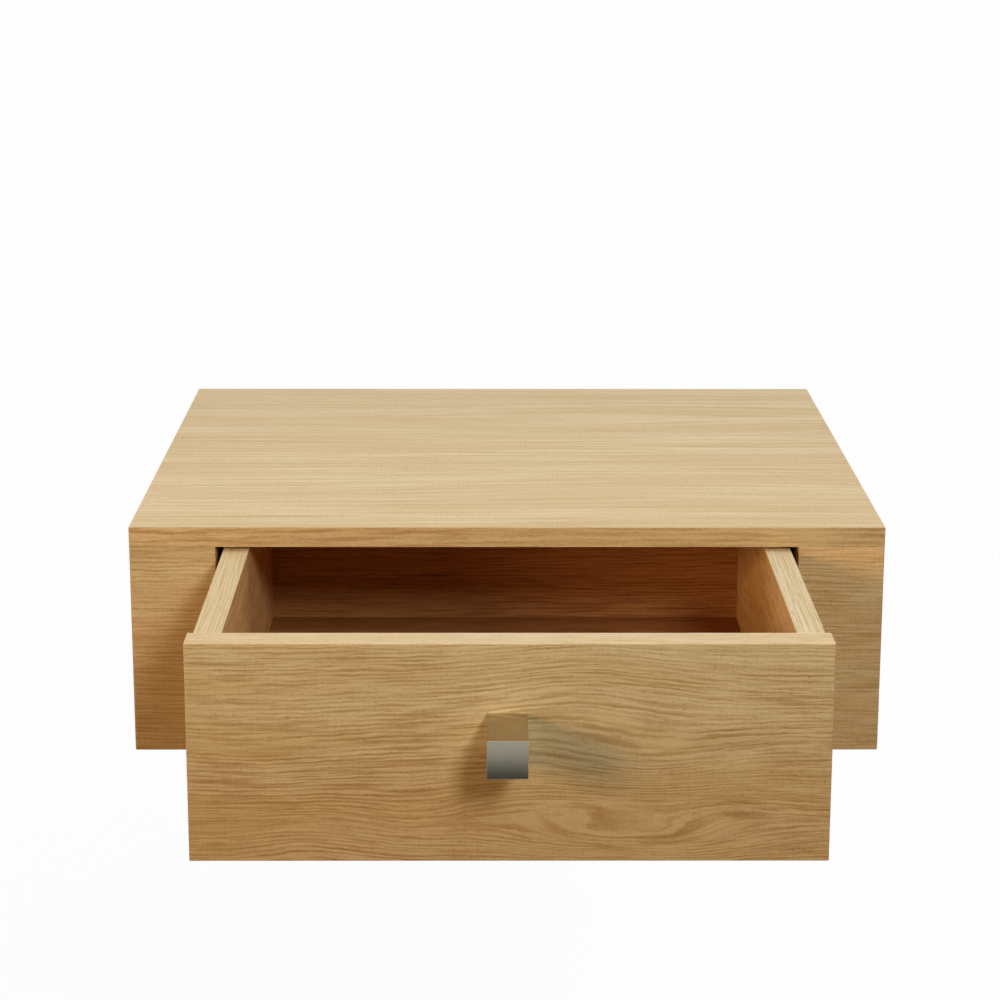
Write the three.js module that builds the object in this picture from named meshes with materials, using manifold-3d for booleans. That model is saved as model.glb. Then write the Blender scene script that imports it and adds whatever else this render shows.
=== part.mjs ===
// A wall-hung bedside table in oak, with one inset drawer on concealed ball runners.
// Units are millimetres. +Z is up, the front looks along -Y, and the wall is the plane y = 0.
// The origin is the middle of the wall cleat's back face, where the table is fastened.
// Every piece is drawn with the drawer shut and z counted from the case's underside;
// the groups at the end slide the drawer and its runners out, and lower the whole to the origin.

import * as THREE from 'three';
import { mergeVertices } from 'three/addons/utils/BufferGeometryUtils.js';
import Module from 'manifold-3d';

const wasm = await Module();
wasm.setup();

// The case. jointGap is the glue line, or the seat between pieces that are screwed together.
const caseWidth = 500;
const caseDepth = 448;
const caseHeight = 155;
const topThickness = 13.5;
const bottomThickness = 9;
const backThickness = 9;
const outerSideThickness = 18;
const innerSideThickness = 12;
const frontStileWidth = 57;
const frontStileDepth = 24;
const spacerLength = 40;
const arris = 0.3;
const jointGap = 0.1;

// The two interlocking cleats that hang the case on the wall.
const cleatRecess = 22;
const cleatThickness = 21;
const cleatOverlapTop = 100;
const wallCleatBottom = 40;
const wallCleatEndGap = 16;
const cleatSeatGap = 0.3;
const wallScrewRadius = 2.75;
const wallScrewHeadRadius = 5.25;
const wallScrewHeadDepth = 4;
const wallScrewSpacing = 110;
const wallScrewCount = 4;

// The drawer box and its inset front.
const drawerFrontThickness = 22;
const drawerFrontSideGap = 1.5;
const drawerFrontBottomGap = 3;
const drawerTopGap = 2.5;
const drawerSideGap = 5;
const drawerSideThickness = 17;
const drawerBackThickness = 17;
const drawerRearClearance = 6;
const drawerBottomThickness = 8;
const drawerFloorHeight = 37.5;
const drawerBottomRecess = 13;
const drawerBottomTongue = 5;
const grooveDepth = 6;
const panelClearance = 0.3;
const drawerArris = 0.3;

// The square bar knob and its screw.
const knobWidth = 24;
const knobHeight = 23;
const knobLength = 50;
const knobChamfer = 0.6;
const knobAboveMiddle = 13.5;
const knobOffset = -1.5;
const knobScrewRadius = 1.95;
const knobScrewHeadRadius = 4.2;
const knobScrewHeadThickness = 2.4;
const knobScrewGrip = 10;
const knobScrewClearance = 0.3;
const knobScrewPoint = 0.8;
const screwCrownShare = 0.7;

// The dowels that join the boards.
const dowelRadius = 4;
const dowelLength = 30;
const dowelInTop = 9;
const dowelInFront = 12;
const dowelInSide = 10;
const dowelChamfer = 0.8;
const dowelClearance = 0.3;

// How far the drawer slides, and how far it stands open at rest.
const fullTravel = 390;
const openAtRest = 207;

// The concealed runners: sheet thickness, ball races and the room around them.
const sheet = 1.2;
const ballRadius = 2;
const raceClearance = 0.15;
const ballSpread = 17.3;
const ballHeight = 5.3;
const railRaceDepth = 0.85;
const railFloorGap = 1.4;
const bendRadius = 1.8;
const lipAngle = Math.PI * 0.555;
const runnerToDrawerSide = 1;
const bracketFloorGap = 0.3;
const bracketFlangeTop = 40;
const bracketTabLength = 34;
const bracketRimHeight = 9;
const bracketHoleRadius = 2.3;
const bracketHoleInset = 9;
const bracketTabShares = [0.09, 0.36, 0.64, 0.91];
const runnerFrontGap = 4;
const runnerRearGap = 9;
const middleRailFrontInset = 2;
const middleRailRearInset = 8;
const drawerRailFrontGap = 2;
const cageSheet = 0.7;
const cageClearance = 0.3;
const cageWallHeight = 1.2;
const cageEndGap = 6;
const ballsInRow = 4;
const hookRise = 14;
const hookPinRadius = 2.7;
const hookPinLength = 8;
const hookPlateWidth = 12;
const hookPlateThickness = 1.5;
const hookTipHeight = 5;
const hookClearance = 0.3;
const notchSideGap = 2;

// The plastic clips that lock the drawer on its rails, and their release levers.
const clipWidth = 24;
const clipLength = 52;
const clipHeight = 11;
const clipRailGap = 0.5;
const clipCorner = 6;
const leverSlotFromFront = 20;
const leverSlotLength = 14.6;
const leverSlotHeight = 4.6;
const leverSlotDrop = 3.4;
const leverClearance = 0.3;
const leverReach = 2.5;
const leverPadThickness = 3;
const leverPadLength = 22;
const leverPadHeight = 9;
const leverPadEase = 0.75;

// How finely round stretches are stepped, how near two points count as one, and how far a
// cutter runs past the face it cuts.
const arcSteps = 4;
const roundSteps = 12;
const ballSteps = 8;
const ballRings = 6;
const samePoint = 0.001;
const cutOverrun = 1;

// Lengths that follow from the ones above.
const halfWidth = caseWidth / 2;
const frontY = -caseDepth;
const stileBackY = frontY + frontStileDepth;
const topUnderside = caseHeight - topThickness;
const openingHalf = halfWidth - frontStileWidth;
const outerSideInner = halfWidth - outerSideThickness;
const innerSideOuter = openingHalf + innerSideThickness;
const backPanelBackY = -cleatRecess;
const backPanelFrontY = backPanelBackY - backThickness;
const drawerRearY = backPanelFrontY - drawerRearClearance;
const drawerFrontBackY = frontY + drawerFrontThickness;
const drawerBackFrontY = drawerRearY - drawerBackThickness;
const drawerTop = topUnderside - drawerTopGap;
const drawerOuterHalf = openingHalf - drawerSideGap;
const drawerInnerHalf = drawerOuterHalf - drawerSideThickness;
const drawerBottomUnderside = drawerFloorHeight - drawerBottomThickness;
const drawerSideBottom = drawerBottomUnderside - drawerBottomRecess;
const knobZ = (drawerTop + drawerFrontBottomGap) / 2 + knobAboveMiddle;
const raceRadius = ballRadius + raceClearance;
const runnerHalf = ballSpread / 2 + raceRadius + sheet;
const runnerX = drawerInnerHalf - runnerToDrawerSide - runnerHalf;
const boardTop = topUnderside - jointGap;
const boardBottom = bottomThickness + jointGap;
const hollowOuter = outerSideInner - jointGap;
const bracketBottom = bottomThickness + bracketFloorGap;
const cabinetRailBottom = bracketBottom + sheet + jointGap;
const drawerRailTop = drawerBottomUnderside - jointGap;
const runnerFrontY = stileBackY + runnerFrontGap;
const runnerRearY = backPanelFrontY - runnerRearGap;
const middleFrontY = runnerFrontY + middleRailFrontInset;
const middleRearY = runnerRearY - middleRailRearInset;
const drawerRailFrontY = drawerFrontBackY + drawerRailFrontGap;

// Colours and surface values: the oaks and the nickel as photographed, the hidden ones usual.
const oak = { color: 0xc09a62, roughness: 0.55, metalness: 0 };
const paleOak = { color: 0xd6bd92, roughness: 0.55, metalness: 0 };
const plywood = { color: 0xcfae7c, roughness: 0.6, metalness: 0 };
const beech = { color: 0xd9b48a, roughness: 0.6, metalness: 0 };
const nickel = { color: 0xb4b0a8, roughness: 0.3, metalness: 1 };
const zincSteel = { color: 0xb9bcc0, roughness: 0.35, metalness: 1 };
const ballSteel = { color: 0xa8abb0, roughness: 0.25, metalness: 1 };
const greyPlastic = { color: 0x6f7376, roughness: 0.5, metalness: 0 };
const orangePlastic = { color: 0xc8682c, roughness: 0.5, metalness: 0 };

const v2 = (x, y) => new THREE.Vector2(x, y);
const v3 = (x, y, z) => new THREE.Vector3(x, y, z);

// Turns a closed geometry into a solid that can be cut and joined.
function toSolid(geometry) {
  const bare = geometry.clone();
  bare.deleteAttribute('normal');
  bare.deleteAttribute('uv');
  const merged = mergeVertices(bare, samePoint);
  return new wasm.Manifold(new wasm.Mesh({
    numProp: 3,
    vertProperties: new Float32Array(merged.attributes.position.array),
    triVerts: new Uint32Array(merged.index.array),
  }));
}

// Turns a solid back into a geometry with flat faces.
function toGeometry(solid) {
  const mesh = solid.getMesh();
  const geometry = new THREE.BufferGeometry();
  geometry.setAttribute('position', new THREE.BufferAttribute(mesh.vertProperties, 3));
  geometry.setIndex(new THREE.BufferAttribute(mesh.triVerts, 1));
  const flat = geometry.toNonIndexed();
  flat.computeVertexNormals();
  return flat;
}

const cut = (geometry, tools) => toGeometry(
  tools.reduce((solid, tool) => solid.subtract(toSolid(tool)), toSolid(geometry)),
);

const join = (geometries) => toGeometry(
  geometries.map(toSolid).reduce((whole, solid) => whole.add(solid)),
);

// An outline with its corners cut off by a small flat, which starts further back on a
// sharper corner.
function eased(points, ease) {
  const result = [];
  points.forEach((point, i) => {
    const back = points[(i + points.length - 1) % points.length].clone().sub(point);
    const on = points[(i + 1) % points.length].clone().sub(point);
    const reach = ease / Math.tan(Math.abs(back.angleTo(on)) / 2);
    result.push(point.clone().add(back.setLength(reach)));
    result.push(point.clone().add(on.setLength(reach)));
  });
  return new THREE.Shape(result);
}

// Extrudes an outline upwards between two heights, with its top and bottom edges eased.
function upright(shape, low, high, ease = 0) {
  const geometry = new THREE.ExtrudeGeometry(shape, {
    depth: high - low - 2 * ease,
    bevelEnabled: ease > 0,
    bevelThickness: ease,
    bevelSize: ease,
    bevelOffset: -ease,
    bevelSegments: 1,
    curveSegments: arcSteps,
  });
  return geometry.translate(0, 0, low + ease);
}

// Extrudes an outline drawn in X and Z from its rear end forwards.
function lengthwise(shape, front, rear, ease = 0) {
  return upright(shape, 0, rear - front, ease).rotateX(Math.PI / 2).translate(0, rear, 0);
}

// Extrudes an outline drawn in Y and Z across the width.
function crosswise(shape, left, right, ease = 0) {
  const turn = new THREE.Matrix4().makeBasis(v3(0, 1, 0), v3(0, 0, 1), v3(1, 0, 0));
  return upright(shape, left, right, ease).applyMatrix4(turn);
}

// A plain block between two corners, used as a cutter.
function block(low, high) {
  const size = high.clone().sub(low);
  const middle = low.clone().add(high).multiplyScalar(0.5);
  return new THREE.BoxGeometry(size.x, size.y, size.z).translate(middle.x, middle.y, middle.z);
}

// A board between two corners, with all its edges eased.
function board(low, high, ease = arris) {
  const outline = [v2(low.x, low.y), v2(high.x, low.y), v2(high.x, high.y), v2(low.x, high.y)];
  return upright(eased(outline, ease), low.z, high.z, ease);
}

// A round bar from one point towards another along X, Y or Z.
function bar(from, to, radius, endRadius = radius) {
  const length = from.distanceTo(to);
  const geometry = new THREE.CylinderGeometry(endRadius, radius, length, roundSteps);
  const turn = new THREE.Quaternion().setFromUnitVectors(v3(0, 1, 0), to.clone().sub(from).normalize());
  const middle = from.clone().add(to).multiplyScalar(0.5);
  return geometry.applyQuaternion(turn).translate(middle.x, middle.y, middle.z);
}

// The points of a line without those that repeat the one before, to within rounding.
const distinct = (points) => points.filter((point, i) => (
  i === 0 || point.distanceTo(points[i - 1]) > samePoint
));

// A strip of sheet metal seen end on: a line with the sheet's thickness laid half to each side.
function sheetShape(path, thickness) {
  const line = distinct(path);
  const left = [];
  const right = [];
  line.forEach((point, i) => {
    const last = i === line.length - 1;
    const before = point.clone().sub(line[Math.max(i - 1, 0)]).normalize();
    const after = line[last ? i : i + 1].clone().sub(point).normalize();
    const along = before.clone().add(after).normalize();
    const run = last ? before : after;
    const side = v2(-along.y, along.x);
    side.multiplyScalar(thickness / 2 / side.dot(v2(-run.y, run.x)));
    left.push(point.clone().add(side));
    right.unshift(point.clone().sub(side));
  });
  return new THREE.Shape([...left, ...right]);
}

const pieces = new THREE.Group();

function add(group, name, geometry, finish) {
  const mesh = new THREE.Mesh(geometry, new THREE.MeshStandardMaterial(finish));
  mesh.name = name;
  group.add(mesh);
}

// The two ends of a dowel, or of its hole, which is a little longer.
function dowelSpan(meet, way, depth, extra) {
  const near = meet.clone().addScaledVector(way, depth - dowelLength - extra);
  const far = meet.clone().addScaledVector(way, depth + extra);
  return [near, far];
}

function dowel({ meet, way, depth }) {
  const profile = [
    v2(0, 0),
    v2(dowelRadius - dowelChamfer, 0),
    v2(dowelRadius, dowelChamfer),
    v2(dowelRadius, dowelLength - dowelChamfer),
    v2(dowelRadius - dowelChamfer, dowelLength),
    v2(0, dowelLength),
  ];
  const [near] = dowelSpan(meet, way, depth, 0);
  const turn = new THREE.Quaternion().setFromUnitVectors(v3(0, 1, 0), way);
  const geometry = new THREE.LatheGeometry(profile, roundSteps);
  return geometry.applyQuaternion(turn).translate(near.x, near.y, near.z);
}

function dowelHole({ meet, way, depth }) {
  const [near, far] = dowelSpan(meet, way, depth, dowelClearance);
  return bar(near, far, dowelRadius + dowelClearance);
}

const sides = [['left', -1], ['right', 1]];

// Dowels: round beech pins with chamfered ends, each in a blind hole in both boards.
// Each entry has the dowel's name, the point where the boards meet, the way it points
// and how deep it goes into the board on that side.
const caseDowelShares = [0.15, 0.5, 0.85];
const caseDowels = sides.flatMap(([side, s]) => caseDowelShares.map((share, i) => ({
  name: `case_dowel_${side}_${i + 1}`,
  meet: v3(s * (halfWidth - outerSideThickness / 2), frontY * share, topUnderside),
  way: v3(0, 0, 1),
  depth: dowelInTop,
})));

const drawerSideHeight = drawerTop - drawerSideBottom;
const frontDowelShares = [0.28, 0.56, 0.84];
const frontDowels = sides.flatMap(([side, s]) => frontDowelShares.map((share, i) => ({
  name: `front_dowel_${side}_${i + 1}`,
  meet: v3(
    s * (drawerInnerHalf + drawerSideThickness / 2),
    drawerFrontBackY,
    drawerSideBottom + drawerSideHeight * share,
  ),
  way: v3(0, -1, 0),
  depth: dowelInFront,
})));

const backDowelShares = [0.4, 0.8];
const backDowels = sides.flatMap(([side, s]) => backDowelShares.map((share, i) => ({
  name: `back_dowel_${side}_${i + 1}`,
  meet: v3(
    s * drawerInnerHalf,
    drawerRearY - drawerBackThickness / 2,
    drawerSideBottom + drawerSideHeight * share,
  ),
  way: v3(s, 0, 0),
  depth: dowelInSide,
})));

// The case: a top laid over two hollow sides, a bottom set back behind the drawer front,
// and a back panel that leaves a recess for the cleats.
const caseGroup = new THREE.Group();
pieces.add(caseGroup);

add(caseGroup, 'top_panel', cut(
  board(v3(-halfWidth, frontY, topUnderside), v3(halfWidth, 0, caseHeight)),
  caseDowels.map(dowelHole),
), paleOak);

add(caseGroup, 'bottom_panel', board(
  v3(-hollowOuter, stileBackY + jointGap, 0),
  v3(hollowOuter, 0, bottomThickness),
), oak);

add(caseGroup, 'back_panel', board(
  v3(-hollowOuter, backPanelFrontY, boardBottom),
  v3(hollowOuter, backPanelBackY, boardTop),
), plywood);

// Each hollow side: a front stile that meets the outer side in a mitre, so that the grain
// runs round the corner, an inner side that guides the drawer, and two spacers between.
const spacerShares = [0.3, 0.72];

sides.forEach(([side, s]) => {
  const mitreY = frontY + outerSideThickness;
  const stileOutline = [
    v2(s * openingHalf, frontY),
    v2(s * halfWidth, frontY),
    v2(s * outerSideInner, mitreY),
    v2(s * outerSideInner, stileBackY),
    v2(s * openingHalf, stileBackY),
  ];
  add(caseGroup, `${side}_front_stile`, upright(eased(stileOutline, arris), 0, boardTop, arris), oak);

  const sideOutline = [
    v2(s * halfWidth, frontY + jointGap),
    v2(s * halfWidth, 0),
    v2(s * outerSideInner, 0),
    v2(s * outerSideInner, mitreY + jointGap),
  ];
  add(caseGroup, `${side}_outer_side`, cut(
    upright(eased(sideOutline, arris), 0, boardTop, arris),
    caseDowels.filter(({ name }) => name.includes(side)).map(dowelHole),
  ), oak);

  const innerX = [s * openingHalf, s * innerSideOuter].sort((a, b) => a - b);
  add(caseGroup, `${side}_inner_side`, board(
    v3(innerX[0], stileBackY + jointGap, boardBottom),
    v3(innerX[1], backPanelFrontY - jointGap, boardTop),
  ), oak);

  const hollowX = [s * (innerSideOuter + jointGap), s * hollowOuter].sort((a, b) => a - b);
  spacerShares.forEach((share, i) => {
    const middleY = stileBackY + (backPanelFrontY - stileBackY) * share;
    add(caseGroup, `${side}_${['front', 'rear'][i]}_spacer`, board(
      v3(hollowX[0], middleY - spacerLength / 2, boardBottom),
      v3(hollowX[1], middleY + spacerLength / 2, boardTop),
    ), plywood);
  });
});

caseDowels.forEach((place) => add(caseGroup, place.name, dowel(place), beech));

// The cleats: two strips with 45 degree edges. The case's strip hooks over the wall's strip,
// whose high edge stands away from the wall.
const caseCleatFrontY = backPanelBackY + jointGap;
const caseCleatRearY = caseCleatFrontY + cleatThickness;
const slopeAt = (y) => cleatOverlapTop - cleatThickness - y;

const caseCleatOutline = [
  v2(caseCleatFrontY, slopeAt(caseCleatFrontY) + cleatSeatGap),
  v2(caseCleatRearY, slopeAt(caseCleatRearY) + cleatSeatGap),
  v2(caseCleatRearY, boardTop),
  v2(caseCleatFrontY, boardTop),
];
add(caseGroup, 'case_cleat', crosswise(
  eased(caseCleatOutline, arris), -hollowOuter, hollowOuter, arris,
), plywood);

const wallCleatOutline = [
  v2(-cleatThickness, wallCleatBottom),
  v2(0, wallCleatBottom),
  v2(0, slopeAt(0)),
  v2(-cleatThickness, slopeAt(-cleatThickness)),
];
const wallCleatMiddle = (wallCleatBottom + slopeAt(0)) / 2;
const wallCleatHalf = outerSideInner - wallCleatEndGap;
const wallScrewHoles = Array.from({ length: wallScrewCount }, (_, i) => {
  const x = (i - (wallScrewCount - 1) / 2) * wallScrewSpacing;
  const face = v3(x, -cleatThickness, wallCleatMiddle);
  const sunk = v3(x, wallScrewHeadDepth - cleatThickness, wallCleatMiddle);
  const before = v3(x, -cleatThickness - cutOverrun, wallCleatMiddle);
  const behind = v3(x, cutOverrun, wallCleatMiddle);
  return join([
    bar(before, behind, wallScrewRadius),
    bar(face, sunk, wallScrewHeadRadius, wallScrewRadius),
  ]);
});
add(caseGroup, 'wall_cleat', cut(
  crosswise(eased(wallCleatOutline, arris), -wallCleatHalf, wallCleatHalf, arris),
  wallScrewHoles,
), plywood);

// The drawer box: sides and back doweled together, and a bottom whose thinner edges, its
// tongues, are let into grooves all round, so that its floor ends just clear of the box.
// Its group is slid forwards by the rest opening.
const drawerGroup = new THREE.Group();
drawerGroup.position.y = -openAtRest;
pieces.add(drawerGroup);

const tongueTop = drawerBottomUnderside + drawerBottomTongue;
const grooveTop = tongueTop + jointGap;
const grooveBottom = drawerBottomUnderside - jointGap;
const knobScrewHole = knobScrewRadius + knobScrewClearance;
const knobHoleEndY = frontY - knobScrewGrip - knobScrewClearance;

add(drawerGroup, 'drawer_front', cut(
  board(
    v3(drawerFrontSideGap - openingHalf, frontY, drawerFrontBottomGap),
    v3(openingHalf - drawerFrontSideGap, drawerFrontBackY, drawerTop),
    drawerArris,
  ),
  [
    block(
      v3(-drawerInnerHalf - grooveDepth, drawerFrontBackY - grooveDepth, grooveBottom),
      v3(drawerInnerHalf + grooveDepth, drawerFrontBackY + cutOverrun, grooveTop),
    ),
    bar(
      v3(knobOffset, frontY - cutOverrun, knobZ),
      v3(knobOffset, drawerFrontBackY + cutOverrun, knobZ),
      knobScrewHole,
    ),
    ...frontDowels.map(dowelHole),
  ],
), oak);

sides.forEach(([side, s]) => {
  const section = [
    v2(s * drawerInnerHalf, drawerSideBottom),
    v2(s * drawerOuterHalf, drawerSideBottom),
    v2(s * drawerOuterHalf, drawerTop),
    v2(s * drawerInnerHalf, drawerTop),
  ];
  const grooveX = [s * (drawerInnerHalf - cutOverrun), s * (drawerInnerHalf + grooveDepth)];
  grooveX.sort((a, b) => a - b);
  const places = [...frontDowels, ...backDowels].filter(({ name }) => name.includes(side));
  add(drawerGroup, `drawer_side_${side}`, cut(
    lengthwise(eased(section, drawerArris), drawerFrontBackY + jointGap, drawerRearY, drawerArris),
    [
      block(
        v3(grooveX[0], drawerFrontBackY - cutOverrun, grooveBottom),
        v3(grooveX[1], drawerRearY + cutOverrun, grooveTop),
      ),
      ...places.map(dowelHole),
    ],
  ), paleOak);
});

// The drawer back stands over the rails: its lower corners are notched for them, and the
// rails' rear hooks go into two bores above the notches.
const notchInner = runnerX - runnerHalf - notchSideGap;
const hookZ = drawerBottomUnderside + hookRise;
const backHalf = drawerInnerHalf - jointGap;
const backOutline = [
  v2(-notchInner, drawerSideBottom),
  v2(notchInner, drawerSideBottom),
  v2(notchInner, drawerBottomUnderside),
  v2(backHalf, drawerBottomUnderside),
  v2(backHalf, drawerTop),
  v2(-backHalf, drawerTop),
  v2(-backHalf, drawerBottomUnderside),
  v2(-notchInner, drawerBottomUnderside),
];
add(drawerGroup, 'drawer_back', cut(
  lengthwise(eased(backOutline, drawerArris), drawerBackFrontY, drawerRearY, drawerArris),
  [
    block(
      v3(-drawerInnerHalf - cutOverrun, drawerBackFrontY - cutOverrun, grooveBottom),
      v3(drawerInnerHalf + cutOverrun, drawerBackFrontY + grooveDepth, grooveTop),
    ),
    ...sides.map(([, s]) => bar(
      v3(s * runnerX, drawerRearY + cutOverrun, hookZ),
      v3(s * runnerX, drawerRearY - hookPinLength - hookClearance, hookZ),
      hookPinRadius + hookClearance,
    )),
    ...backDowels.map(dowelHole),
  ],
), paleOak);

const panelReach = grooveDepth - panelClearance;
const panelToWalls = (reach, top) => board(
  v3(-drawerInnerHalf - reach, drawerFrontBackY - reach, drawerBottomUnderside),
  v3(drawerInnerHalf + reach, drawerBackFrontY + reach, top),
  drawerArris,
);
add(drawerGroup, 'drawer_bottom', join([
  panelToWalls(panelReach, tongueTop),
  panelToWalls(-panelClearance, drawerFloorHeight),
]), oak);

frontDowels.forEach((place) => add(drawerGroup, place.name, dowel(place), beech));
backDowels.forEach((place) => add(drawerGroup, place.name, dowel(place), beech));

// The knob: a length of solid square bar, chamfered on its outer end and long edges,
// with a tapped blind hole for the machine screw that comes through the front.
const knobOutline = [
  v2(knobOffset - knobWidth / 2, knobZ - knobHeight / 2),
  v2(knobOffset + knobWidth / 2, knobZ - knobHeight / 2),
  v2(knobOffset + knobWidth / 2, knobZ + knobHeight / 2),
  v2(knobOffset - knobWidth / 2, knobZ + knobHeight / 2),
];
add(drawerGroup, 'knob', cut(
  lengthwise(eased(knobOutline, knobChamfer), frontY - knobLength, frontY - jointGap, knobChamfer),
  [
    bar(
      v3(knobOffset, knobHoleEndY, knobZ),
      v3(knobOffset, frontY + cutOverrun, knobZ),
      knobScrewHole,
    ),
  ],
), nickel);

const knobScrewLength = drawerFrontThickness + knobScrewGrip;
const knobScrewProfile = [
  v2(0, -knobScrewHeadThickness),
  v2(knobScrewHeadRadius * screwCrownShare, -knobScrewHeadThickness),
  v2(knobScrewHeadRadius, -knobScrewHeadThickness / 2),
  v2(knobScrewHeadRadius, 0),
  v2(knobScrewRadius, 0),
  v2(knobScrewRadius, knobScrewLength - knobScrewPoint),
  v2(knobScrewRadius - knobScrewPoint, knobScrewLength),
  v2(0, knobScrewLength),
];
const knobScrew = new THREE.LatheGeometry(knobScrewProfile, roundSteps);
knobScrew.rotateX(Math.PI).translate(knobOffset, drawerFrontBackY + jointGap, knobZ);
add(drawerGroup, 'knob_screw', knobScrew, zincSteel);

// The runners. Seen from the front, each is a stack of three rolled profiles: a channel on a
// bracket, an upside-down channel under the drawer, and a box rail with four ball grooves
// that runs in both. Balls in sheet cages roll in the channels' curled edges.
const ballX = ballSpread / 2;
const curlRadius = raceRadius + sheet / 2;

function channelLine() {
  const half = new THREE.Path();
  half.moveTo(0, sheet / 2);
  half.lineTo(ballX + curlRadius - bendRadius, sheet / 2);
  half.absarc(ballX + curlRadius - bendRadius, sheet / 2 + bendRadius, bendRadius, -Math.PI / 2, 0);
  half.absarc(ballX, ballHeight, curlRadius, 0, lipAngle);
  const right = half.getPoints(arcSteps);
  const left = right.slice(1).reverse().map(({ x, y }) => v2(-x, y));
  return [...left, ...right];
}

// Raises a section by a base height, turned upside down where flip is -1.
const seated = (points, x, base, flip) => points.map((point) => v2(point.x + x, base + flip * point.y));

function middleShape(x) {
  const lowBalls = cabinetRailBottom + ballHeight;
  const highBalls = drawerRailTop - ballHeight;
  const bottom = cabinetRailBottom + sheet + railFloorGap;
  const top = drawerRailTop - sheet - railFloorGap;
  const half = ballX - (raceRadius - railRaceDepth);
  const spread = Math.acos((ballX - half) / raceRadius);
  const outline = new THREE.Path();
  outline.moveTo(half, bottom);
  outline.lineTo(half, lowBalls - raceRadius * Math.sin(spread));
  outline.absarc(ballX, lowBalls, raceRadius, Math.PI + spread, Math.PI - spread, true);
  outline.absarc(ballX, highBalls, raceRadius, Math.PI + spread, Math.PI - spread, true);
  outline.lineTo(half, top);
  const right = distinct(outline.getPoints(arcSteps));
  const left = right.map((point) => v2(-point.x, point.y)).reverse();
  const shape = new THREE.Shape([...right, ...left].map((point) => v2(point.x + x, point.y)));
  const inside = half - railRaceDepth - sheet;
  shape.holes.push(new THREE.Path([
    v2(x - inside, bottom + sheet),
    v2(x - inside, top - sheet),
    v2(x + inside, top - sheet),
    v2(x + inside, bottom + sheet),
  ]));
  return shape;
}

// A cage: a channel of thin sheet round the box rail's edge, with a row of balls in each wall.
function cage(x, base, flip, front, rear) {
  const wallX = ballX - (raceRadius - railRaceDepth) + cageClearance + cageSheet / 2;
  const floor = sheet + cageClearance + cageSheet / 2;
  const line = [
    v2(-wallX, ballHeight + cageWallHeight),
    v2(-wallX, floor),
    v2(wallX, floor),
    v2(wallX, ballHeight + cageWallHeight),
  ];
  const strip = lengthwise(sheetShape(seated(line, x, base, flip), cageSheet), front, rear);
  const pitch = (rear - front) / ballsInRow;
  const balls = Array.from({ length: 2 * ballsInRow }, (_, i) => {
    const ball = new THREE.SphereGeometry(ballRadius, ballSteps, ballRings);
    const sideways = i % 2 ? ballX : -ballX;
    const y = front + pitch * (Math.floor(i / 2) + 0.5);
    return ball.translate(x + sideways, y, base + flip * ballHeight);
  });
  return join([strip, ...balls]);
}

// The bracket: an L of folded sheet under the channel, with screw tabs up the inner side.
function bracket(s) {
  const corner = v2(s * (openingHalf - jointGap - sheet / 2), bracketBottom + sheet / 2);
  const line = new THREE.Path();
  line.moveTo(s * (runnerX - runnerHalf), corner.y);
  line.lineTo(corner.x - s * bendRadius, corner.y);
  if (s > 0) {
    line.absarc(corner.x - bendRadius, corner.y + bendRadius, bendRadius, -Math.PI / 2, 0);
  } else {
    line.absarc(corner.x + bendRadius, corner.y + bendRadius, bendRadius, -Math.PI / 2, -Math.PI, true);
  }
  line.lineTo(corner.x, bracketFlangeTop);
  const strip = lengthwise(sheetShape(line.getPoints(arcSteps), sheet), runnerFrontY, runnerRearY);
  const length = runnerRearY - runnerFrontY;
  const tabs = bracketTabShares.map((share) => runnerFrontY + share * length);
  const wallX = [corner.x - sheet / 2 - cutOverrun, corner.x + sheet / 2 + cutOverrun];
  const ends = [runnerFrontY - cutOverrun, ...tabs, runnerRearY + cutOverrun];
  const windows = ends.slice(1).map((end, i) => block(
    v3(wallX[0], ends[i] + (i > 0 ? bracketTabLength / 2 : 0), bracketBottom + bracketRimHeight),
    v3(wallX[1], end - (i < tabs.length ? bracketTabLength / 2 : 0), bracketFlangeTop + cutOverrun),
  ));
  const holes = tabs.map((y) => bar(
    v3(wallX[0], y, bracketFlangeTop - bracketHoleInset),
    v3(wallX[1], y, bracketFlangeTop - bracketHoleInset),
    bracketHoleRadius,
  ));
  return cut(strip, [...windows, ...holes]);
}

// The drawer rail: an upside-down channel with a hook plate and pin behind the drawer back,
// and a window near the front for the lever's tongue.
const leverSlotFrontY = drawerFrontBackY + leverSlotFromFront;
const leverSlotRearY = leverSlotFrontY + leverSlotLength;
const leverSlotTop = drawerBottomUnderside - leverSlotDrop;
const leverSlotBottom = leverSlotTop - leverSlotHeight;

function drawerRail(s) {
  const x = s * runnerX;
  const top = drawerRailTop;
  const line = seated(channelLine(), x, top, -1);
  const channel = lengthwise(sheetShape(line, sheet), drawerRailFrontY, drawerRearY);
  const plateFrontY = drawerRearY + hookClearance;
  const plateRearY = plateFrontY + hookPlateThickness;
  const tongue = block(
    v3(x - hookPlateWidth / 2, drawerRearY - sheet, top - sheet),
    v3(x + hookPlateWidth / 2, plateRearY, top),
  );
  const plate = block(
    v3(x - hookPlateWidth / 2, plateFrontY, top - sheet),
    v3(x + hookPlateWidth / 2, plateRearY, hookZ + hookTipHeight),
  );
  const pin = bar(
    v3(x, (plateFrontY + plateRearY) / 2, hookZ),
    v3(x, drawerRearY - hookPinLength, hookZ),
    hookPinRadius,
  );
  const wallX = [s * (runnerX - runnerHalf - cutOverrun), s * (runnerX - ballX)].sort((a, b) => a - b);
  const window = block(
    v3(wallX[0], leverSlotFrontY, leverSlotBottom),
    v3(wallX[1], leverSlotRearY, leverSlotTop),
  );
  return cut(join([channel, tongue, plate, pin]), [window]);
}

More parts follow.
